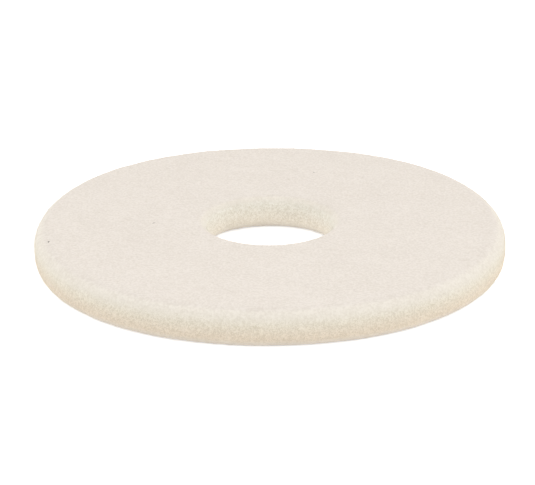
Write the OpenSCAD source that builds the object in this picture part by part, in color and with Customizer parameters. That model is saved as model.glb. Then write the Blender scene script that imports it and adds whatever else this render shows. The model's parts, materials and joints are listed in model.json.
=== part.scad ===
// Felt polishing wheel: a flat disc of pressed wool felt with a plain centre hole.
// The wheel lies on its back face at z = 0, polishing face up, centred on the Z axis.

/* [Wheel] */
// Outside diameter
outer_d = 200; // [100:0.1:300]
// Thickness, from the back face to the polishing face
wheel_t = 15; // [8:0.1:40]

/* [Bore] */
// Diameter of the straight part of the centre hole
bore_d = 54; // [12:0.1:66]

/* [Edges] */
// Radius of the rim edge at the polishing face
front_rim_r = 6.5; // [0.5:0.1:8]
// Radius of the rim edge at the back face
back_rim_r = 4.5; // [0.5:0.1:8]
// Radius of the hole's edge at the polishing face
front_mouth_r = 4; // [0.5:0.1:8]
// Radius of the hole's edge at the back face
back_mouth_r = 5; // [0.5:0.1:8]

/* [Hidden] */
outer_r = outer_d / 2;
bore_r = bore_d / 2;
// Straight wall kept between the two rounded edges of the rim, and of the hole
least_wall = 3;
// How far a corner's waste reaches past the faces it trims
overrun = 1;
felt_cream = [0.93, 0.89, 0.85];
$fn = 180;

// An edge radius, reduced with the one facing it where a thin wheel has no room for both
function eased(r, facing_r) = r * min(1, (wheel_t - least_wall) / (r + facing_r));

// What rounding to radius r takes off a square corner at the origin, with the felt at +X +Y
module corner_waste(r) {
    difference() {
        translate([-overrun, -overrun]) square(r + overrun);
        translate([r, r]) circle(r);
    }
}

// Half section of the wheel, from the hole to the rim
module ring_section() {
    difference() {
        translate([bore_r, 0]) square([outer_r - bore_r, wheel_t]);
        translate([bore_r, 0]) corner_waste(eased(back_mouth_r, front_mouth_r));
        translate([bore_r, wheel_t]) mirror([0, 1]) corner_waste(eased(front_mouth_r, back_mouth_r));
        translate([outer_r, 0]) mirror([1, 0]) corner_waste(eased(back_rim_r, front_rim_r));
        translate([outer_r, wheel_t]) rotate(180) corner_waste(eased(front_rim_r, back_rim_r));
    }
}

module felt_disc() {
    color(felt_cream) rotate_extrude() ring_section();
}

felt_disc();
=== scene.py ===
import json
import math

import bmesh
import bpy
from mathutils import Matrix, Vector


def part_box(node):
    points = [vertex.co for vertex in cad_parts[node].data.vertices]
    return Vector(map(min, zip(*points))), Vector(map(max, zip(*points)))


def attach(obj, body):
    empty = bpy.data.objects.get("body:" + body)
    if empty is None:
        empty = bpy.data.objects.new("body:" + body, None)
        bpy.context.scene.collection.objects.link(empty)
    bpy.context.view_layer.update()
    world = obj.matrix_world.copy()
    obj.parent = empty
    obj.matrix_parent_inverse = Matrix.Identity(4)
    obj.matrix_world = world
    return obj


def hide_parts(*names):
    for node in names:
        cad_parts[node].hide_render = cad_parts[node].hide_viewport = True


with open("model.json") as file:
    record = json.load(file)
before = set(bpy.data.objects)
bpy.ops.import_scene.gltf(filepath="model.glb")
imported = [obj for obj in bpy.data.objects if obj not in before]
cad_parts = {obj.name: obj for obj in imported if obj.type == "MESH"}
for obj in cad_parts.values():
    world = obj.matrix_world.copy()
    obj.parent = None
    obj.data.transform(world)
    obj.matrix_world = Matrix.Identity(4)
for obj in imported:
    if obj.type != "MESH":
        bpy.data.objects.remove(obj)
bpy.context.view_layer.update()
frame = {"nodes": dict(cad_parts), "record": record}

mm = 0.001
scene = bpy.context.scene


# One output of a node tree, which takes part in sums as a number does
class Wire:
    def __init__(self, tree, socket=None):
        self.tree = tree
        self.socket = socket

    # Adds any node: its settings first, then what its sockets hold or are linked to
    def node(self, kind, settings=None, sockets=None, out=0):
        made = self.tree.nodes.new(kind)
        for name, value in (settings or {}).items():
            setattr(made, name, value)
        for name, value in (sockets or {}).items():
            if isinstance(value, Wire):
                self.tree.links.new(value.socket, made.inputs[name])
            else:
                made.inputs[name].default_value = value
        return Wire(self.tree, made.outputs[out])

    # Another output of the same node
    def other(self, name):
        return Wire(self.tree, self.socket.node.outputs[name])

    def maths(self, operation, first, second=0.0):
        return self.node("ShaderNodeMath", {"operation": operation}, {0: first, 1: second})

    def __add__(self, value):
        return self.maths("ADD", self, value)

    def __radd__(self, value):
        return self.maths("ADD", value, self)

    def __sub__(self, value):
        return self.maths("SUBTRACT", self, value)

    def __rsub__(self, value):
        return self.maths("SUBTRACT", value, self)

    def __mul__(self, value):
        return self.maths("MULTIPLY", self, value)

    def __rmul__(self, value):
        return self.maths("MULTIPLY", value, self)

    def __truediv__(self, value):
        return self.maths("DIVIDE", self, value)

    # How far this value has gone from start to end, as 0 to 1 with soft ends
    def fade(self, start, end):
        return self.node(
            "ShaderNodeMapRange",
            {"interpolation_type": "SMOOTHSTEP"},
            {"Value": self, "From Min": start, "From Max": end},
        )

    # 1 where this value is more than the other, and 0 elsewhere
    def over(self, value):
        return self.maths("GREATER_THAN", self, value)


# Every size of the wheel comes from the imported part
cadDisc = frame["nodes"]["felt_disc"]
low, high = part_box("felt_disc")
bore = next(m for m in frame["record"]["mounts"] if m["name"] == "bore")


# How far the flat of the face at this height reaches from the axis
def flatReach(height):
    level = [v.co for v in cadDisc.data.vertices if abs(v.co.z - height) < 0.01 * mm]
    return max(math.hypot(p.x, p.y) for p in level)


wheel = {
    "Outer Radius": (high.x - low.x) / 2,
    "Bore Radius": bore["dims"]["r_mm"] * mm,
    "Thickness": high.z - low.z,
}
wallHalf = bore["dims"]["length_mm"] * mm / 2
wheel["Back Mouth"] = bore["pos_m"][2] - wallHalf - low.z
wheel["Front Mouth"] = high.z - bore["pos_m"][2] - wallHalf
wheel["Back Edge"] = wheel["Outer Radius"] - flatReach(low.z)
wheel["Front Edge"] = wheel["Outer Radius"] - flatReach(high.z)
print("wheel in mm:", {name: round(size / mm, 2) for name, size in wheel.items()})

# Distances in outside radii, angles in degrees
view = {"pitch": 21.49, "roll": -0.44, "away": 7.96, "across": 0.0102, "up": 0.0300, "lens": 126.1}


def makeCamera():
    pitch = math.radians(view["pitch"])
    back = Vector((0, -math.cos(pitch), math.sin(pitch)))
    right = Vector((1, 0, 0))
    up = back.cross(right)
    radius = wheel["Outer Radius"]
    middle = Vector((0, 0, low.z + wheel["Thickness"] / 2))
    data = bpy.data.cameras.new("camera")
    data.sensor_width = 36
    data.lens = view["lens"]
    data.clip_start = 0.01
    camera = bpy.data.objects.new("camera", data)
    shift = right * view["across"] + up * view["up"]
    camera.location = middle + (back * view["away"] - shift) * radius
    turn = Matrix((right, up, back)).transposed() @ Matrix.Rotation(math.radians(view["roll"]), 3, "Z")
    camera.rotation_mode = "QUATERNION"
    camera.rotation_quaternion = turn.to_quaternion()
    scene.collection.objects.link(camera)
    scene.camera = camera


makeCamera()
print("camera placed")

# Sizes and places in outside radii, a lamp's turn in degrees to the right of the camera
studio = {
    "floorSide": 80.0,
    "floorGrey": 0.85,
    "floorGlow": 0.14,
    "floorWhite": 0.55,
    "sky": 0.66,  # light from all round, then how it grows to the right, to the back and upwards
    "skyTilt": (0.0, 0.59, 0.07),
    "lampSize": 19.5,
    "lampAway": 26.0,
}
lamps = {
    "leftSoftbox": {"power": 22.8, "turn": -50.0, "pitch": 35.0},
    "rightSoftbox": {"power": 23.2, "turn": 60.0, "pitch": 27.0},
}


def makeFloor():
    reach = studio["floorSide"] / 2 * wheel["Outer Radius"]
    corners = [(-reach, -reach, 0), (reach, -reach, 0), (reach, reach, 0), (-reach, reach, 0)]
    mesh = bpy.data.meshes.new("floor")
    mesh.from_pydata(corners, [], [(0, 1, 2, 3)])
    floor = bpy.data.objects.new("floor", mesh)
    scene.collection.objects.link(floor)
    paper = bpy.data.materials.new("paper")
    paper.use_nodes = True
    shader = paper.node_tree.nodes["Principled BSDF"]
    grey = studio["floorGrey"]
    shader.inputs["Base Color"].default_value = (grey, grey, grey, 1)
    shader.inputs["Roughness"].default_value = 1.0
    shader.inputs["Specular IOR Level"].default_value = 0.0
    # the paper is lit from below, faintly, and as seen it is plain white
    start = Wire(paper.node_tree)
    faint = start.node("ShaderNodeEmission", {}, {"Strength": studio["floorGlow"]})
    white = start.node("ShaderNodeEmission", {}, {"Strength": studio["floorWhite"]})
    seen = start.node("ShaderNodeLightPath")
    glow = start.node("ShaderNodeMixShader", {}, {0: seen, 1: faint, 2: white})
    both = start.node("ShaderNodeAddShader", {}, {0: Wire(paper.node_tree, shader.outputs[0]), 1: glow})
    paper.node_tree.links.new(both.socket, paper.node_tree.nodes["Material Output"].inputs["Surface"])
    mesh.materials.append(paper)


def makeSky():
    sky = bpy.data.worlds.new("sky")
    scene.world = sky
    sky.use_nodes = True
    tree = sky.node_tree
    start = Wire(tree)
    way = start.node("ShaderNodeTexCoord")
    split = start.node("ShaderNodeSeparateXYZ", {}, {0: way})
    tilt = studio["skyTilt"]
    light = studio["sky"] + split * tilt[0] + split.other("Y") * tilt[1] + split.other("Z") * tilt[2]
    soft = start.node("ShaderNodeBackground", {}, {"Color": (1, 1, 1, 1), "Strength": light})
    white = start.node("ShaderNodeBackground", {}, {"Color": (1, 1, 1, 1), "Strength": 1.0})
    seen = start.node("ShaderNodeLightPath")
    mixed = start.node("ShaderNodeMixShader", {}, {0: seen, 1: soft, 2: white})
    tree.links.new(mixed.socket, tree.nodes["World Output"].inputs["Surface"])


def makeLamp(name, look):
    turn = math.radians(look["turn"])
    pitch = math.radians(look["pitch"])
    way = Vector((math.sin(turn) * math.cos(pitch), -math.cos(turn) * math.cos(pitch), math.sin(pitch)))
    data = bpy.data.lights.new(name, "AREA")
    data.energy = look["power"]
    data.size = studio["lampSize"] * wheel["Outer Radius"]
    lamp = bpy.data.objects.new(name, data)
    lamp.location = way * studio["lampAway"] * wheel["Outer Radius"]
    lamp.rotation_mode = "QUATERNION"
    lamp.rotation_quaternion = way.to_track_quat("Z", "Y")
    scene.collection.objects.link(lamp)


makeFloor()
makeSky()
for name, look in lamps.items():
    makeLamp(name, look)
scene.view_settings.view_transform = "Standard"
print("floor and lights placed")

# Colours of the pressed face, the painted highlight on its rounded edges, and the cut walls at their top
# and bottom, with painted light making the bore wall paler and painted shade making the walls darker and
# warmer towards the bottom, what the grain's tone and the painted shade in its hollows multiply them by,
# then noise scales per metre
felt = {
    "face": (0.880, 0.815, 0.745, 1),
    "faceGrainAndShade": (0.910, 0.900, 0.885, 1),
    "edge": (0.946, 0.887, 0.800, 1),
    "rimTop": (0.943, 0.895, 0.776, 1),
    "rimShadedBottom": (0.913, 0.781, 0.625, 1),
    "boreLitTop": (0.995, 0.970, 0.890, 1),
    "boreLitShadedBottom": (0.995, 0.915, 0.795, 1),
    "cutGrainAndShade": (0.825, 0.805, 0.764, 1),
    "cloud": 60.0,
    "clump": 480.0,
    "grain": 1000.0,
    "cutGrain": 1300.0,
    "edgeTilt": (0.80, 1.0),  # upward parts of the normal between which the face takes the painted highlight of its rounded edge
    "cutTilt": (0.0, 0.92),  # and the edge into the cut wall
    "faceTone": (0.39, 0.61),  # noise values that give the full grain darkening and painted hollow shade, and none of it
    "cutTone": (0.385, 0.615),
    "shadeFreeAbove": 0.9,  # share of the thickness above which the walls have no painted shade
    "roughness": 1.0,
    "sheen": 0.06,
}


def makeFelt():
    material = bpy.data.materials.new("pressedFelt")
    material.use_nodes = True
    tree = material.node_tree
    shader = tree.nodes["Principled BSDF"]
    start = Wire(tree)
    place = start.node("ShaderNodeTexCoord", out="Object")
    facing = start.node("ShaderNodeNewGeometry", out="Normal")
    upright = start.maths("ABSOLUTE", start.node("ShaderNodeSeparateXYZ", {}, {0: facing}, "Z"))
    spot = start.node("ShaderNodeSeparateXYZ", {}, {0: place})
    height = spot.other("Z") / wheel["Thickness"]
    across = start.maths("SQRT", spot * spot + spot.other("Y") * spot.other("Y"))
    # painted highlight where the face rounds over into its edge
    edge = 1 - upright.fade(*felt["edgeTilt"])
    cut = 1 - upright.fade(*felt["cutTilt"])

    def noise(scale, detail=2.0, distortion=0.0):
        sockets = {"Vector": place, "Scale": scale, "Detail": detail, "Distortion": distortion}
        return start.node("ShaderNodeTexNoise", {}, sockets)

    def mix(share, first, second, blend="MIX"):
        settings = {"data_type": "RGBA", "blend_type": blend}
        return start.node("ShaderNodeMix", settings, {"Factor": share, 6: first, 7: second}, 2)

    clouds = noise(felt["cloud"], 2.0)
    clumps = noise(felt["clump"], 3.0, 0.5)
    grain = noise(felt["grain"], 3.0, 0.4)
    faceTone = (clouds * 0.12 + clumps * 0.20 + grain * 0.68).fade(*felt["faceTone"])
    cutGrain = noise(felt["cutGrain"], 5.0, 1.2)
    cutTone = (clumps * 0.10 + cutGrain * 0.90).fade(*felt["cutTone"])
    # painted shade: the walls grow darker and warmer towards the bottom, where less light reaches near the
    # floor
    shadeTowardsBottom = 1 - height.fade(0.0, felt["shadeFreeAbove"])
    # from the bore's painted-light colours out to the rim's own
    rimward = across.fade(wheel["Bore Radius"] * 1.2, wheel["Outer Radius"] * 0.8)
    # the outer rim's wall colour, with the painted shade towards the bottom
    rim = mix(shadeTowardsBottom, felt["rimTop"], felt["rimShadedBottom"])
    # painted light: the bore wall is paler than the rim to stand in for light reaching it, with the same
    # painted shade towards the bottom
    litBore = mix(shadeTowardsBottom, felt["boreLitTop"], felt["boreLitShadedBottom"])
    plain = mix(cut, mix(edge, felt["face"], felt["edge"]), mix(rimward, litBore, rim))
    white = (1, 1, 1, 1)
    # the grain's tone, darkest where the bump is lowest, so partly real tone and partly painted shade in
    # its hollows
    grainAndShade = mix(cut, mix(faceTone, felt["faceGrainAndShade"], white), mix(cutTone, felt["cutGrainAndShade"], white))
    tree.links.new(mix(1.0, plain, grainAndShade, "MULTIPLY").socket, shader.inputs["Base Color"])
    shader.inputs["Roughness"].default_value = felt["roughness"]
    shader.inputs["Specular IOR Level"].default_value = 0.05
    shader.inputs["Sheen Weight"].default_value = felt["sheen"]
    shader.inputs["Sheen Roughness"].default_value = 0.6
    rise = clumps * 0.2 + grain * 0.4 + cutGrain * cut * 0.5
    bump = start.node("ShaderNodeBump", {}, {"Strength": 0.6, "Distance": 0.25 * mm, "Height": rise})
    tree.links.new(bump.socket, shader.inputs["Normal"])
    return material


feltMaterial = makeFelt()
print("felt material made")

# Scales per metre. Out Of Round is the share of its radius by which the rim strays from a circle
disc = {
    "Steps Around": 1200,
    "Steps Along": 340,
    "Out Of Round": 0.008,
    "Lump Height": 0.45 * mm,
    "Lump Scale": 60.0,
    "Nub Height": 0.10 * mm,
    "Nub Scale": 330.0,
    "Pit Height": 0.20 * mm,
    "Pit Scale": 1100.0,
}


# A group with named inputs, whose first is a geometry if it has one
def newTree(name, inputs):
    tree = bpy.data.node_groups.new(name, "GeometryNodeTree")
    for label, value in inputs.items():
        kind = {int: "NodeSocketInt", float: "NodeSocketFloat"}.get(type(value), value)
        tree.interface.new_socket(label, in_out="INPUT", socket_type=kind)
    tree.interface.new_socket("Geometry", in_out="OUTPUT", socket_type="NodeSocketGeometry")
    entry = tree.nodes.new("NodeGroupInput")
    leave = tree.nodes.new("NodeGroupOutput")
    return tree, {label: Wire(tree, entry.outputs[label]) for label in inputs}, leave


# Runs a group on an object and leaves the result as its plain mesh
def settle(piece, tree, values):
    modifier = piece.modifiers.new(tree.name, "NODES")
    modifier.node_group = tree
    for item in tree.interface.items_tree:
        if item.in_out == "INPUT" and item.name in values:
            modifier[item.identifier] = values[item.name]
    bpy.context.view_layer.update()
    ready = piece.evaluated_get(bpy.context.evaluated_depsgraph_get())
    mesh = bpy.data.meshes.new_from_object(ready)
    if mesh.materials[0] is None:
        mesh.materials.pop(index=0)
    piece.modifiers.clear()
    piece.data = mesh
    mesh.name = piece.name
    return piece


# The wheel's rounded section, carried round the axis and then roughened
def makeDisc():
    values = {**wheel, **disc}
    tree, given, leave = newTree("carrySectionRound", {**values, "Felt": "NodeSocketMaterial"})
    start = Wire(tree)

    def point(across, up):
        return start.node("ShaderNodeCombineXYZ", {}, {0: across, 1: up})

    section = start.node(
        "GeometryNodeCurvePrimitiveQuadrilateral",
        {"mode": "POINTS"},
        {
            "Point 1": point(given["Bore Radius"], 0.0),
            "Point 2": point(given["Outer Radius"], 0.0),
            "Point 3": point(given["Outer Radius"], given["Thickness"]),
            "Point 4": point(given["Bore Radius"], given["Thickness"]),
        },
    )
    corner = start.node("GeometryNodeInputIndex")
    radius = tree.nodes.new("GeometryNodeIndexSwitch")
    radius.data_type = "FLOAT"
    radius.index_switch_items.new()
    radius.index_switch_items.new()
    tree.links.new(corner.socket, radius.inputs["Index"])
    for slot, name in enumerate(("Back Mouth", "Back Edge", "Front Edge", "Front Mouth")):
        tree.links.new(given[name].socket, radius.inputs[slot + 1])
    rounded = start.node(
        "GeometryNodeFilletCurve",
        {"mode": "POLY"},
        {"Curve": section, "Count": 24, "Radius": Wire(tree, radius.outputs[0])},
    )
    sheet = start.node(
        "GeometryNodeMeshGrid",
        {},
        {
            "Size X": 1.0,
            "Size Y": 1.0,
            "Vertices X": given["Steps Around"],
            "Vertices Y": given["Steps Along"],
        },
    )
    place = start.node("ShaderNodeSeparateXYZ", {}, {0: start.node("GeometryNodeInputPosition")})
    onSection = start.node(
        "GeometryNodeSampleCurve",
        {"mode": "FACTOR"},
        {"Curves": rounded, "Factor": place.other("Y") + 0.5},
        "Position",
    )
    apart = start.node("ShaderNodeSeparateXYZ", {}, {0: onSection})
    turn = (place + 0.5) * (2 * math.pi)
    rimward = (apart / given["Outer Radius"]).fade(0.5, 1.0)
    reach = apart * (1 - rimward * given["Out Of Round"] * start.maths("COSINE", turn * 4.0))
    spun = start.node(
        "ShaderNodeCombineXYZ",
        {},
        {0: reach * start.maths("COSINE", turn), 1: reach * start.maths("SINE", turn), 2: apart.other("Y")},
    )
    shell = start.node("GeometryNodeSetPosition", {}, {"Geometry": sheet, "Position": spun})
    closed = start.node("GeometryNodeMergeByDistance", {}, {"Geometry": shell, "Distance": 0.001 * mm})

    def noise(scale):
        return start.node("ShaderNodeTexNoise", {}, {"Scale": scale, "Detail": 2.0}) - 0.5

    way = start.node("GeometryNodeInputNormal")
    upright = start.maths("ABSOLUTE", start.node("ShaderNodeSeparateXYZ", {}, {0: way}, "Z"))
    cut = 1 - upright.fade(0.05, 0.92)
    rise = (
        noise(given["Lump Scale"]) * given["Lump Height"]
        + noise(given["Nub Scale"]) * given["Nub Height"]
        + noise(given["Pit Scale"]) * given["Pit Height"] * (0.25 + cut * 0.75)
    )
    push = start.node("ShaderNodeVectorMath", {"operation": "SCALE"}, {0: way, "Scale": rise})
    rough = start.node("GeometryNodeSetPosition", {}, {"Geometry": closed, "Offset": push})
    smooth = start.node("GeometryNodeSetShadeSmooth", {}, {"Geometry": rough})
    solid = start.node("GeometryNodeRealizeInstances", {}, {"Geometry": smooth})
    done = start.node("GeometryNodeSetMaterial", {}, {"Geometry": solid, "Material": given["Felt"]})
    tree.links.new(done.socket, leave.inputs["Geometry"])
    piece = bpy.data.objects.new("felt_disc_body", bpy.data.meshes.new("felt_disc_body"))
    scene.collection.objects.link(piece)
    return settle(piece, tree, {**values, "Felt": feltMaterial})


discBody = makeDisc()
print("disc made,", len(discBody.data.polygons), "faces")

# Loose wool on each surface: about how many hairs, their length, and how far they lean over in radians
wool = {
    "pale": (0.930, 0.880, 0.815, 1),
    "deep": (0.870, 0.805, 0.715, 1),
    "tint": 45.0,
}
fibreZones = {
    "face_fibres": {"Count": 7400, "Length": 2.2 * mm, "Lean": 1.50, "Lean Spread": 0.07, "zone": "face"},
    "back_fibres": {"Count": 6000, "Length": 2.2 * mm, "Lean": 1.50, "Lean Spread": 0.07, "zone": "back"},
    "rim_fibres": {"Count": 7400, "Length": 1.5 * mm, "Lean": 1.35, "Lean Spread": 0.20, "zone": "rim"},
    "bore_fibres": {"Count": 3600, "Length": 1.4 * mm, "Lean": 1.25, "Lean Spread": 0.30, "zone": "bore"},
}
fibre = {
    "Thickness": 0.05 * mm,
    "Curl": 0.55 * mm,
    "Curl Scale": 600.0,
    "Kinks": 5,
    "Seed": 7,
}


def makeWool(name, pale, deep):
    material = bpy.data.materials.new(name)
    material.use_nodes = True
    tree = material.node_tree
    shader = tree.nodes["Principled BSDF"]
    start = Wire(tree)
    place = start.node("ShaderNodeTexCoord", out="Object")
    tint = start.node("ShaderNodeTexNoise", {}, {"Vector": place, "Scale": wool["tint"], "Detail": 1.0})
    share = tint.fade(0.35, 0.65)
    colour = start.node("ShaderNodeMix", {"data_type": "RGBA"}, {"Factor": share, 6: deep, 7: pale}, 2)
    tree.links.new(colour.socket, shader.inputs["Base Color"])
    shader.inputs["Roughness"].default_value = 0.85
    shader.inputs["Specular IOR Level"].default_value = 0.2
    return material


woolMaterial = makeWool("looseWool", wool["pale"], wool["deep"])


# Where a zone lies: the range of its normals' upward part, and of its distance from the axis
def zoneOf(name):
    middle = (wheel["Bore Radius"] + wheel["Outer Radius"]) / 2
    far = wheel["Outer Radius"] * 2
    return {
        "face": {"Least Up": 0.92, "Most Up": 1.1, "Nearest": 0.0, "Farthest": far},
        "back": {"Least Up": -1.1, "Most Up": -0.92, "Nearest": 0.0, "Farthest": far},
        "rim": {"Least Up": -0.92, "Most Up": 0.92, "Nearest": middle, "Farthest": far},
        "bore": {"Least Up": -0.92, "Most Up": 0.92, "Nearest": 0.0, "Farthest": middle},
    }[name]


# Hairs grow on the faces of the object's mesh that lie in the zone, lean over at random and curl
def makeFibreTree():
    names = {**fibre, **zoneOf("face"), "Density": 1.0, "Length": 1.0, "Lean": 1.0, "Lean Spread": 1.0}
    inputs = {"Geometry": "NodeSocketGeometry", **names, "Wool": "NodeSocketMaterial"}
    tree, given, leave = newTree("growFibres", inputs)
    start = Wire(tree)
    way = start.node("GeometryNodeInputNormal")
    up = start.node("ShaderNodeSeparateXYZ", {}, {0: way}, "Z")
    spot = start.node("ShaderNodeSeparateXYZ", {}, {0: start.node("GeometryNodeInputPosition")})
    across = start.maths("SQRT", spot * spot + spot.other("Y") * spot.other("Y"))
    inside = (
        up.over(given["Least Up"]) * given["Most Up"].over(up)
        * across.over(given["Nearest"]) * given["Farthest"].over(across)
    )
    roots = start.node(
        "GeometryNodeDistributePointsOnFaces",
        {"distribute_method": "RANDOM"},
        {
            "Mesh": given["Geometry"],
            "Selection": inside,
            "Density": given["Density"],
            "Seed": given["Seed"],
        },
    )

    def chance(least, most, salt):
        sockets = {2: least, 3: most, "Seed": given["Seed"] + salt}
        return start.node("FunctionNodeRandomValue", {"data_type": "FLOAT"}, sockets, 1)

    lean = given["Lean"] + chance(-1.0, 1.0, 1) * given["Lean Spread"]
    spin = chance(0.0, 2 * math.pi, 2)
    turned = start.node("ShaderNodeCombineXYZ", {}, {0: lean, 2: spin})
    tilt = start.node("FunctionNodeEulerToRotation", {}, {0: turned})
    stance = start.node(
        "FunctionNodeRotateRotation",
        {"rotation_space": "LOCAL"},
        {"Rotation": roots.other("Rotation"), "Rotate By": tilt},
    )
    stem = start.node("GeometryNodeCurvePrimitiveLine", {"mode": "POINTS"}, {"End": (0.0, 0.0, 1.0)})
    kinked = start.node("GeometryNodeResampleCurve", {}, {"Curve": stem, "Count": given["Kinks"]})
    grown = start.node(
        "GeometryNodeInstanceOnPoints",
        {},
        {
            "Points": roots,
            "Instance": kinked,
            "Rotation": stance,
            "Scale": given["Length"] * chance(0.5, 1.3, 3),
        },
    )
    loose = start.node("GeometryNodeRealizeInstances", {}, {"Geometry": grown})
    along = start.node("GeometryNodeSplineParameter")
    swirl = start.node("ShaderNodeTexNoise", {}, {"Scale": given["Curl Scale"], "Detail": 1.0}, "Color")
    centred = start.node("ShaderNodeVectorMath", {"operation": "SUBTRACT"}, {0: swirl, 1: (0.5, 0.5, 0.5)})
    sockets = {0: centred, "Scale": given["Curl"] * along * 2.0}
    pull = start.node("ShaderNodeVectorMath", {"operation": "SCALE"}, sockets)
    curled = start.node("GeometryNodeSetPosition", {}, {"Geometry": loose, "Offset": pull})
    sockets = {"Resolution": 3, "Radius": 0.5}
    ring = start.node("GeometryNodeCurvePrimitiveCircle", {"mode": "RADIUS"}, sockets)
    tubes = start.node(
        "GeometryNodeCurveToMesh",
        {},
        {
            "Curve": curled,
            "Profile Curve": ring,
            "Scale": given["Thickness"] * (1 - along * 0.6),
            "Fill Caps": True,
        },
    )
    solid = start.node("GeometryNodeRealizeInstances", {}, {"Geometry": tubes})
    done = start.node("GeometryNodeSetMaterial", {}, {"Geometry": solid, "Material": given["Wool"]})
    tree.links.new(done.socket, leave.inputs["Geometry"])
    return tree


# The area of the disc's mesh that lies in a zone, for turning a count of hairs into a density
def areaIn(zone):
    total = 0.0
    for face in discBody.data.polygons:
        across = math.hypot(face.center.x, face.center.y)
        tilted = zone["Least Up"] < face.normal.z < zone["Most Up"]
        if tilted and zone["Nearest"] < across < zone["Farthest"]:
            total += face.area
    return total


def makeFibres():
    tree = makeFibreTree()
    pieces = []
    for number, (name, look) in enumerate(fibreZones.items()):
        zone = zoneOf(look["zone"])
        sizes = {key: look[key] for key in ("Length", "Lean", "Lean Spread")}
        values = {**fibre, **zone, **sizes, "Density": look["Count"] / areaIn(zone), "Wool": woolMaterial}
        values["Seed"] = fibre["Seed"] + 10 * number
        piece = bpy.data.objects.new(name, discBody.data)
        scene.collection.objects.link(piece)
        pieces.append(settle(piece, tree, values))
        print(name, "made,", len(pieces[-1].data.polygons), "faces")
    return pieces


# Bits of dark hair caught in the felt: the side each lies on, its turn round the axis and its own
# heading in degrees, how far out it lies in outside radii, its length and its thickness
darkHair = {
    "colour": (0.060, 0.045, 0.035, 1),
    "lift": 0.35,  # how high and how far sideways it arches, in its own thicknesses
    "bow": 1.5,
    "tip": 0.35,  # thickness at its ends, as a share of that at its middle
    "steps": 5,
    "sides": 6,
    "bits": [
        {"side": 1, "turn": -164.8, "reach": 0.940, "heading": 70.0, "long": 0.9 * mm, "thick": 0.34 * mm},
        {"side": 1, "turn": -175.3, "reach": 0.489, "heading": 55.0, "long": 2.2 * mm, "thick": 0.12 * mm},
        {"side": 1, "turn": 71.0, "reach": 0.620, "heading": 15.0, "long": 1.2 * mm, "thick": 0.10 * mm},
        {"side": -1, "turn": 24.0, "reach": 0.560, "heading": 120.0, "long": 1.6 * mm, "thick": 0.14 * mm},
        {"side": -1, "turn": -118.0, "reach": 0.800, "heading": 40.0, "long": 0.8 * mm, "thick": 0.26 * mm},
        {"side": -1, "turn": 160.0, "reach": 0.430, "heading": -35.0, "long": 1.1 * mm, "thick": 0.12 * mm},
    ],
}


# A short arched rod that tapers to both ends, lying on the felt where the ray meets it
def addHair(build, bit):
    turn = math.radians(bit["turn"])
    reach = bit["reach"] * wheel["Outer Radius"]
    over = Vector((math.cos(turn) * reach, math.sin(turn) * reach, bit["side"] * wheel["Outer Radius"]))
    _, root, normal, _ = discBody.ray_cast(over, Vector((0, 0, -bit["side"])))
    heading = math.radians(bit["heading"])
    along = Vector((math.cos(heading), math.sin(heading), 0))
    across = normal.cross(along).normalized()
    along = across.cross(normal)
    steps, sides, tip = darkHair["steps"], darkHair["sides"], darkHair["tip"]
    rings = []
    for step in range(steps + 1):
        share = step / steps
        bulge = math.sin(math.pi * share)
        centre = root + along * (share - 0.5) * bit["long"]
        centre += (normal * darkHair["lift"] + across * darkHair["bow"]) * bulge * bit["thick"]
        width = bit["thick"] / 2 * (tip + (1 - tip) * bulge)
        ways = [2 * math.pi * k / sides for k in range(sides)]
        corners = [centre + (normal * math.sin(a) + across * math.cos(a)) * width for a in ways]
        rings.append([build.verts.new(corner) for corner in corners])
    for first, second in zip(rings, rings[1:]):
        for k in range(sides):
            build.faces.new((first[k], first[k - 1], second[k - 1], second[k]))
    build.faces.new(rings[0])
    build.faces.new(reversed(rings[-1]))


def makeDarkHairs():
    build = bmesh.new()
    for bit in darkHair["bits"]:
        addHair(build, bit)
    bmesh.ops.recalc_face_normals(build, faces=build.faces)
    mesh = bpy.data.meshes.new("dark_hairs")
    build.to_mesh(mesh)
    build.free()
    mesh.materials.append(makeWool("darkHair", darkHair["colour"], darkHair["colour"]))
    piece = bpy.data.objects.new("dark_hairs", mesh)
    scene.collection.objects.link(piece)
    return piece


for hairs in makeFibres() + [makeDarkHairs()]:
    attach(hairs, "root")

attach(discBody, "root")
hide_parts("felt_disc")
